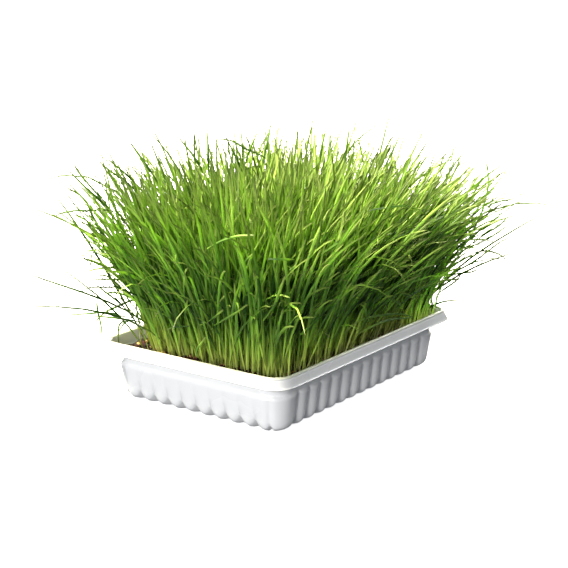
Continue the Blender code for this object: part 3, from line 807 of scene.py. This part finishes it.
def leaf_model():
    """One leaf, 1 long and 1 wide: a square section extruded from stop to stop and drawn to a point, then
    flattened to a thin fold along its mid rib. U runs across it and V along it."""
    bpy.ops.object.select_all(action="DESELECT")
    bpy.ops.mesh.primitive_circle_add(vertices=4, radius=LEAF_STOPS[0][1] / 2, fill_type="NGON")
    leaf = bpy.context.active_object
    bpy.ops.object.mode_set(mode="EDIT")
    bpy.ops.mesh.select_mode(type="FACE")
    bpy.ops.mesh.select_all(action="SELECT")
    for (low, breadth), (high, next_breadth) in zip(LEAF_STOPS, LEAF_STOPS[1:]):
        bpy.ops.mesh.extrude_region_move(TRANSFORM_OT_translate={"value": (0, 0, high - low)})
        wider = next_breadth / breadth
        bpy.ops.transform.resize(value=(wider, wider, 1))
    bpy.ops.mesh.extrude_region_move(TRANSFORM_OT_translate={"value": (0, 0, 1 - LEAF_STOPS[-1][0])})
    bpy.ops.mesh.merge(type="CENTER")
    bpy.ops.mesh.select_all(action="SELECT")
    bpy.ops.mesh.normals_make_consistent(inside=False)
    bpy.ops.object.mode_set(mode="OBJECT")
    mesh = leaf.data
    corners = np.array([vert.co for vert in mesh.vertices])
    across = np.where(abs(corners[:, 0]) > 1e-5, np.sign(corners[:, 0]), 0.0)
    depth = corners[:, 1]
    skin = np.where(depth > 1e-5, LEAF_SKIN, 0.0) * abs(depth) * 2
    corners[:, 1] = abs(depth) * (FOLD_AT_ROOT - LESS_FOLD_AT_TIP * corners[:, 2]) + skin
    faces = [tuple(face.vertices) for face in mesh.polygons]
    uvs = [(0.5 + 0.5 * across[corner], corners[corner, 2]) for face in faces for corner in face]
    bpy.data.objects.remove(leaf, do_unlink=True)
    return corners, faces, uvs


def without_sheath(model):
    """The leaf's model with the colours of its upper part only, for blades whose pale sheath is hidden."""
    corners, faces, uvs = model
    return corners, faces, [(u, SHEATH_SHARE + (1 - SHEATH_SHARE) * v) for u, v in uvs]


def bent_leaf(corners, middle, flat, width, twist, wander):
    """The model's corners laid along a middle line, turning slowly about it and straying a little from it."""
    share = corners[:, 2]
    at = share * BLADE_STEPS
    low = np.minimum(at.astype(int), BLADE_STEPS - 1)
    run = (middle[1:] - middle[:-1])[low]
    reach = np.linalg.norm(middle[1:] - middle[:-1], axis=1).sum()
    place = middle[low] + run * (at - low)[:, None] + wander * (reach * 4 * share * (1 - share))[:, None]
    along = run / np.linalg.norm(run, axis=1)[:, None]
    across = flat - along * (along @ flat)[:, None]
    across /= np.linalg.norm(across, axis=1)[:, None]
    back = np.cross(across, along)
    turned = twist * share**1.5
    cos, sin = np.cos(turned)[:, None], np.sin(turned)[:, None]
    side, depth = corners[:, :1] * width, corners[:, 1:2] * width
    return place + (across * cos + back * sin) * side + (back * cos - across * sin) * depth


def make_blades(name, plan, model, material, seed):
    """A copy of the leaf along each of a plan's (middle line, way across, width, tone), in one piece. A blade
    with no tone of its own is given one at random, and twists and strays more."""
    draw = random.Random(seed)
    corners, faces, uvs = model
    points, all_faces, tones = [], [], []
    for number, (middle, flat, width, tone) in enumerate(plan):
        twist = draw.gauss(0, TWIST)
        wander = np.array((draw.gauss(0, 1), draw.gauss(0, 1), 0.0)) * WANDER
        drawn_tone = min(draw.gauss(TONE, TONE_SPREAD), PALEST)
        if tone is None:
            tone = drawn_tone
        else:
            twist, wander = twist * PLACED_TWIST, wander * 0
        points.append(bent_leaf(corners, middle, flat, width, twist, wander))
        base = number * len(corners)
        all_faces += [tuple(base + corner for corner in face) for face in faces]
        tones += [tone] * len(corners)
    blades = piece_from(name, np.concatenate(points).tolist(), all_faces, material)
    laid_out = np.array(uvs * len(plan), dtype=np.float32).ravel()
    blades.data.uv_layers.new(name="blade").data.foreach_set("uv", laid_out)
    tone_of_each = blades.data.attributes.new("tone", "FLOAT", "POINT")
    tone_of_each.data.foreach_set("value", np.array(tones, dtype=np.float32))
    smooth(blades, 60)
    return blades


def soil_half_sides():
    """Half the length and half the width of the soil."""
    return TRAY_LENGTH / 2 - SOIL_EDGE_INSET, TRAY_WIDTH / 2 - SOIL_EDGE_INSET


def heap(x, y):
    """How much higher the soil lies, piled up along the -X side, and less so along both long sides."""
    half_x, half_y = soil_half_sides()
    near_end = math.exp(-((x + half_x - HEAP_CREST) / HEAP_WIDTH) ** 2)
    near_side = HEAP_ON_LONG_SIDES * math.exp(-((half_y - abs(y)) / HEAP_WIDTH) ** 2)
    loose = 0.75 + 0.6 * noise.noise(Vector((x, y, 0)) * LUMPS_PER_METRE)
    return HEAP_RISE * max(near_end, near_side) * loose


def make_soil(material):
    """The soil: a slab to the tray's inside with a rough top, heaped up towards its edge."""
    half_x, half_y = soil_half_sides()
    bpy.ops.object.select_all(action="DESELECT")
    bpy.ops.mesh.primitive_grid_add(
        x_subdivisions=SOIL_GRID[0], y_subdivisions=SOIL_GRID[1], size=1, location=(0, 0, SOIL_TOP))
    soil = bpy.context.active_object
    soil.name = soil.data.name = "soil_bed"
    soil.scale = (2 * half_x, 2 * half_y, 1)
    bpy.ops.object.transform_apply(location=True, rotation=True, scale=True)
    for vert in soil.data.vertices:
        point = vert.co
        past_x, past_y = abs(point.x) - half_x + SOIL_RADIUS, abs(point.y) - half_y + SOIL_RADIUS
        if past_x > 0 and past_y > 0:
            pull = SOIL_RADIUS / max(math.hypot(past_x, past_y), SOIL_RADIUS)
            point.x = math.copysign(half_x - SOIL_RADIUS + past_x * pull, point.x)
            point.y = math.copysign(half_y - SOIL_RADIUS + past_y * pull, point.y)
    bpy.ops.object.mode_set(mode="EDIT")
    bpy.ops.mesh.select_all(action="SELECT")
    bpy.ops.mesh.extrude_region_move(TRANSFORM_OT_translate={"value": (0, 0, -SOIL_DEPTH)})
    bpy.ops.transform.resize(value=SOIL_TAPER)
    bpy.ops.mesh.select_all(action="SELECT")
    bpy.ops.mesh.normals_make_consistent(inside=False)
    bpy.ops.object.mode_set(mode="OBJECT")
    for vert in soil.data.vertices:
        if vert.co.z > SOIL_TOP - 1 * MM:
            # Clods of some 9 mm, with crumbs of some 2 mm on them.
            at = vert.co * 1000
            rough = noise.fractal(at * 0.11, 1.0, 2.0, 3) * 0.9 + abs(noise.noise(at * 0.45)) * 1.3
            vert.co.z += (rough - 0.4) * MM + heap(vert.co.x, vert.co.y)
    soil.data.materials.append(material)
    smooth(soil, 50)
    return soil


def scattered(name, model, places, material):
    """Copies of a small model mesh, each at its (place, size, turn), joined in one piece."""
    corners = np.array([vert.co for vert in model.vertices])
    faces = [tuple(face.vertices) for face in model.polygons]
    all_points, all_faces = [], []
    for number, (place, size, turn) in enumerate(places):
        base = number * len(corners)
        all_points += (corners * np.array(size) @ np.array(turn.to_matrix()).T + np.array(place)).tolist()
        all_faces += [tuple(base + corner for corner in face) for face in faces]
    return piece_from(name, all_points, all_faces, material)


def ball_model(name, rings, shape):
    """A small ball, of the given number of rings, whose every point is moved by shape."""
    bpy.ops.object.select_all(action="DESELECT")
    bpy.ops.mesh.primitive_uv_sphere_add(segments=rings + 1, ring_count=rings, radius=1)
    ball = bpy.context.active_object
    for vert in ball.data.vertices:
        vert.co = shape(vert.co)
    mesh = ball.data
    mesh.name = name
    bpy.data.objects.remove(ball, do_unlink=True)
    return mesh


def random_turn(draw, flat):
    """A random turn. A flat one leaves the model's long axis within the ground."""
    tip = draw.uniform(-0.35, 0.35) if flat else draw.uniform(-3.1, 3.1)
    heading = Matrix.Rotation(draw.uniform(*ANY_TURN), 3, "Z").to_quaternion()
    return heading @ Matrix.Rotation(tip, 3, "Y").to_quaternion()


def make_crumbs(material):
    """Loose crumbs of soil, lumpy and of all sizes, thickest on the margin and in the bare corner."""
    draw = random.Random(CRUMB_SEED)
    model = ball_model("crumb", CRUMB_RINGS, lambda at: at * (1 + 0.45 * noise.noise(at * 2.1)))
    half_x, half_y = (half - CRUMB_MARGIN for half in soil_half_sides())
    corner = CRUMB_CORNER_RADIUS
    places = []
    while len(places) < CRUMBS:
        x, y = draw.uniform(-half_x, half_x), draw.uniform(-half_y, half_y)
        past_x, past_y = abs(x) - half_x + corner, abs(y) - half_y + corner
        if past_x > 0 and past_y > 0 and math.hypot(past_x, past_y) > corner:
            continue
        inner = min(half_x - abs(x), half_y - abs(y)) > CRUMBLY_EDGE
        bare = math.hypot(x + half_x, y - half_y) < CRUMBLY_CORNER
        if inner and not bare and draw.random() < LEFT_OUT_WITHIN:
            continue
        size = (LEAST_CRUMB + CRUMB_LARGER * draw.random() ** 3) * MM
        place = (x, y, SOIL_TOP + heap(x, y) + draw.uniform(-0.1, 0.8) * MM)
        sizes = (size, size * draw.uniform(0.6, 1), size * draw.uniform(0.6, 1))
        places.append((place, sizes, random_turn(draw, False)))
    return scattered("soil_crumbs", model, places, material)


def make_seeds(roots, material):
    """The spent grains, one by every few blades: plump, with a crease down one side."""
    draw = random.Random(GRAIN_SEED)

    def grain(at):
        crease = 1 - 0.3 * math.exp(-((math.atan2(at.y, at.z)) / 0.35) ** 2)
        taper = 1 - 0.25 * at.x
        wide, tall = GRAIN_WIDTH / 2 * taper, GRAIN_HEIGHT / 2 * crease * taper
        return Vector((at.x * GRAIN_LENGTH / 2, at.y * wide, at.z * tall))

    model = ball_model("grain", GRAIN_RINGS, grain)
    places = []
    for root in roots:
        if draw.random() < GRAIN_SHARE:
            away = draw.uniform(*ANY_TURN)
            x, y = root.x + GRAIN_AWAY * math.cos(away), root.y + GRAIN_AWAY * math.sin(away)
            place = (x, y, SOIL_TOP + heap(x, y) + 0.6 * MM)
            places.append((place, (1, 1, 1), random_turn(draw, True)))
    seeds = scattered("spent_seeds", model, places, material)
    smooth(seeds, 60)
    return seeds


def make_camera():
    """The camera, aimed from its azimuth, elevation and distance, and rolled a little."""
    back = Vector((math.sin(CAMERA_AZIMUTH) * math.cos(CAMERA_ELEVATION),
                   -math.cos(CAMERA_AZIMUTH) * math.cos(CAMERA_ELEVATION),
                   math.sin(CAMERA_ELEVATION)))
    level = Vector((math.cos(CAMERA_AZIMUTH), math.sin(CAMERA_AZIMUTH), 0))
    right = Matrix.Rotation(CAMERA_ROLL, 3, back) @ level
    up = back.cross(right)
    lens = bpy.data.cameras.new("camera")
    lens.lens = CAMERA_LENS
    lens.sensor_width = SENSOR_WIDTH
    camera = bpy.data.objects.new("camera", lens)
    camera.matrix_world = Matrix.Translation(CAMERA_AIM + back * CAMERA_DISTANCE) @ Matrix(
        (right, up, back)).transposed().to_4x4()
    bpy.context.scene.collection.objects.link(camera)
    bpy.context.scene.camera = camera


def make_light(name, place, aim, size, power, code):
    """A square soft box at a place, turned to its aim."""
    lamp = bpy.data.lights.new(name, "AREA")
    lamp.size = size
    lamp.energy = power
    lamp.color = colour(code)[:3]
    light = bpy.data.objects.new(name, lamp)
    light.location = place
    light.rotation_euler = (Vector(aim) - Vector(place)).to_track_quat("-Z", "Y").to_euler()
    bpy.context.scene.collection.objects.link(light)


def make_studio():
    """A white sweep and pale surroundings, brighter to -X and above. The main soft box is high on the
    left behind the tray, a window lights its short side, and two small ones fill its right."""
    bpy.ops.object.select_all(action="DESELECT")
    bpy.ops.mesh.primitive_plane_add(size=12, location=(0, 0, -0.2 * MM))
    floor = bpy.context.active_object
    floor.name = "floor"
    floor.data.materials.append(plain_floor())
    floor.visible_diffuse = False
    floor.visible_glossy = False
    make_light("high_light", (-0.75, 1.25, 2.1), (0, 0, 0.12), 0.45, 320, "#fff6df")
    make_light("window", (-1.9, -0.38, 0.50), (0, 0, 0.06), 0.8, 31, "#ffffff")
    make_light("side_light", (1.5, -0.55, 1.1), (0, 0, 0.06), 0.35, 20, "#ffffff")
    make_light("back_light", (1.5, 0.35, 0.45), (0, 0, 0.08), 0.5, 24, "#fff9e8")
    world = bpy.data.worlds.new("surroundings")
    world.use_nodes = True
    tree = world.node_tree
    way = add(tree, "ShaderNodeTexCoord")
    side = add(tree, "ShaderNodeSeparateXYZ", {"Vector": (way, "Generated")})
    level = add(tree, "ShaderNodeMapRange", {
        "Value": (side, "X"), "From Min": -1.0, "From Max": 1.0, "To Min": 0.36, "To Max": 0.10})
    above = add(tree, "ShaderNodeMapRange", {
        "Value": (side, "Z"), "From Min": -1.0, "From Max": 1.0, "To Min": 0.4, "To Max": 1.6})
    both = add(tree, "ShaderNodeMath", {0: (level, "Result"), 1: (above, "Result")}, operation="MULTIPLY")
    tree.links.new(both.outputs["Value"], tree.nodes["Background"].inputs["Strength"])
    tree.nodes["Background"].inputs["Color"].default_value = colour("#f3f8ff")
    bpy.context.scene.world = world
    bpy.context.scene.view_settings.view_transform = "Standard"


make_camera()
make_studio()

tray = make_tray(formed_plastic())
soil_finish = growing_soil()
soil = make_soil(soil_finish)
crumbs = make_crumbs(soil_finish)
leaf = wheat_leaf()
leaf_shape = leaf_model()
main_plan = plan_main_blades()
fine_plan = plan_fine_blades()
middles = [np.array(blade_points(*line)) for line, _, _ in main_plan[:len(STRAY_BLADES)]]
strays = [(middle, flat_on(middle), BLADE_WIDTH * STRAY_SLIMMER, STRAY_TONE) for middle in middles]
stand = [(*along_line(line, turn), width * MAIN_SLIMMER, None)
         for line, width, turn in main_plan[len(STRAY_BLADES):]]
sown = [(*along_line(line, turn), width, None) for line, width, turn in fine_plan]
tuft = [(*along_line(line, turn), width, tone) for line, width, turn, tone in plan_tuft()]
laid = [(*along_places(places), max(width, LEAST_LAID_WIDTH) * MM, tone * LAID_TONE)
        for width, tone, places in LAID_BLADES]
third = len(sown) // 3
main_blades = make_blades("main_blades", strays + stand, leaf_shape, leaf, seed=11)
other_blades = [
    make_blades("fine_blades_1", sown[:third], leaf_shape, leaf, seed=12),
    make_blades("fine_blades_2", sown[third:2 * third], leaf_shape, leaf, seed=13),
    make_blades("fine_blades_3", sown[2 * third:] + tuft, leaf_shape, leaf, seed=14),
    make_blades("laid_blades", laid, without_sheath(leaf_shape), leaf, seed=15),
]
seeds = make_seeds([line[0] for line, _, _ in main_plan + fine_plan], spent_seed())

for piece in (tray, soil, crumbs, seeds, main_blades, *other_blades):
    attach(piece, "root")
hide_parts("tray")
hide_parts("soil")
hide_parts("wheatgrass")
